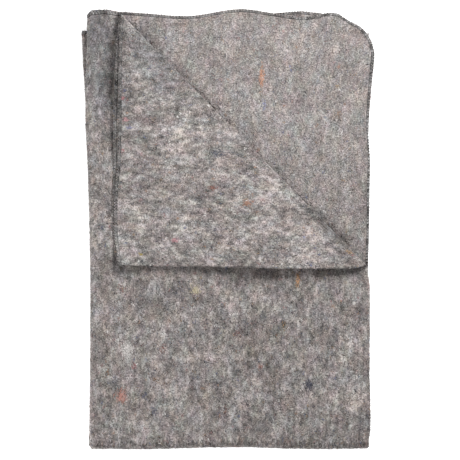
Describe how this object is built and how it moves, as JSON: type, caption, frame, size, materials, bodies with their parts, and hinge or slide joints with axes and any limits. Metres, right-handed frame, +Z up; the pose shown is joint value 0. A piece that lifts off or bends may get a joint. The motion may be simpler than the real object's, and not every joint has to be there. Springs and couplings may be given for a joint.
{
  "type": "folded wool blanket",
  "caption": "Grey felted wool blanket with oversewn edges and rounded corners, folded into a flat pack with its top corner turned down, for bedding or wrapping goods.",
  "frame": {"origin": "middle of the underside's box, on the surface that the pack lies on", "axes": "+Y from the bottom fold to the hems, +X from the left folds to the open right side, +Z up"},
  "size_m": [0.5066, 0.7602, 0.0512],
  "materials": {
    "wool": "mottled grey felted wool with coloured flecks, short pile and dark oversewn edges"
  },
  "bodies": {
    "root": {"blanket": "wool"}
  },
  "joints": []
}
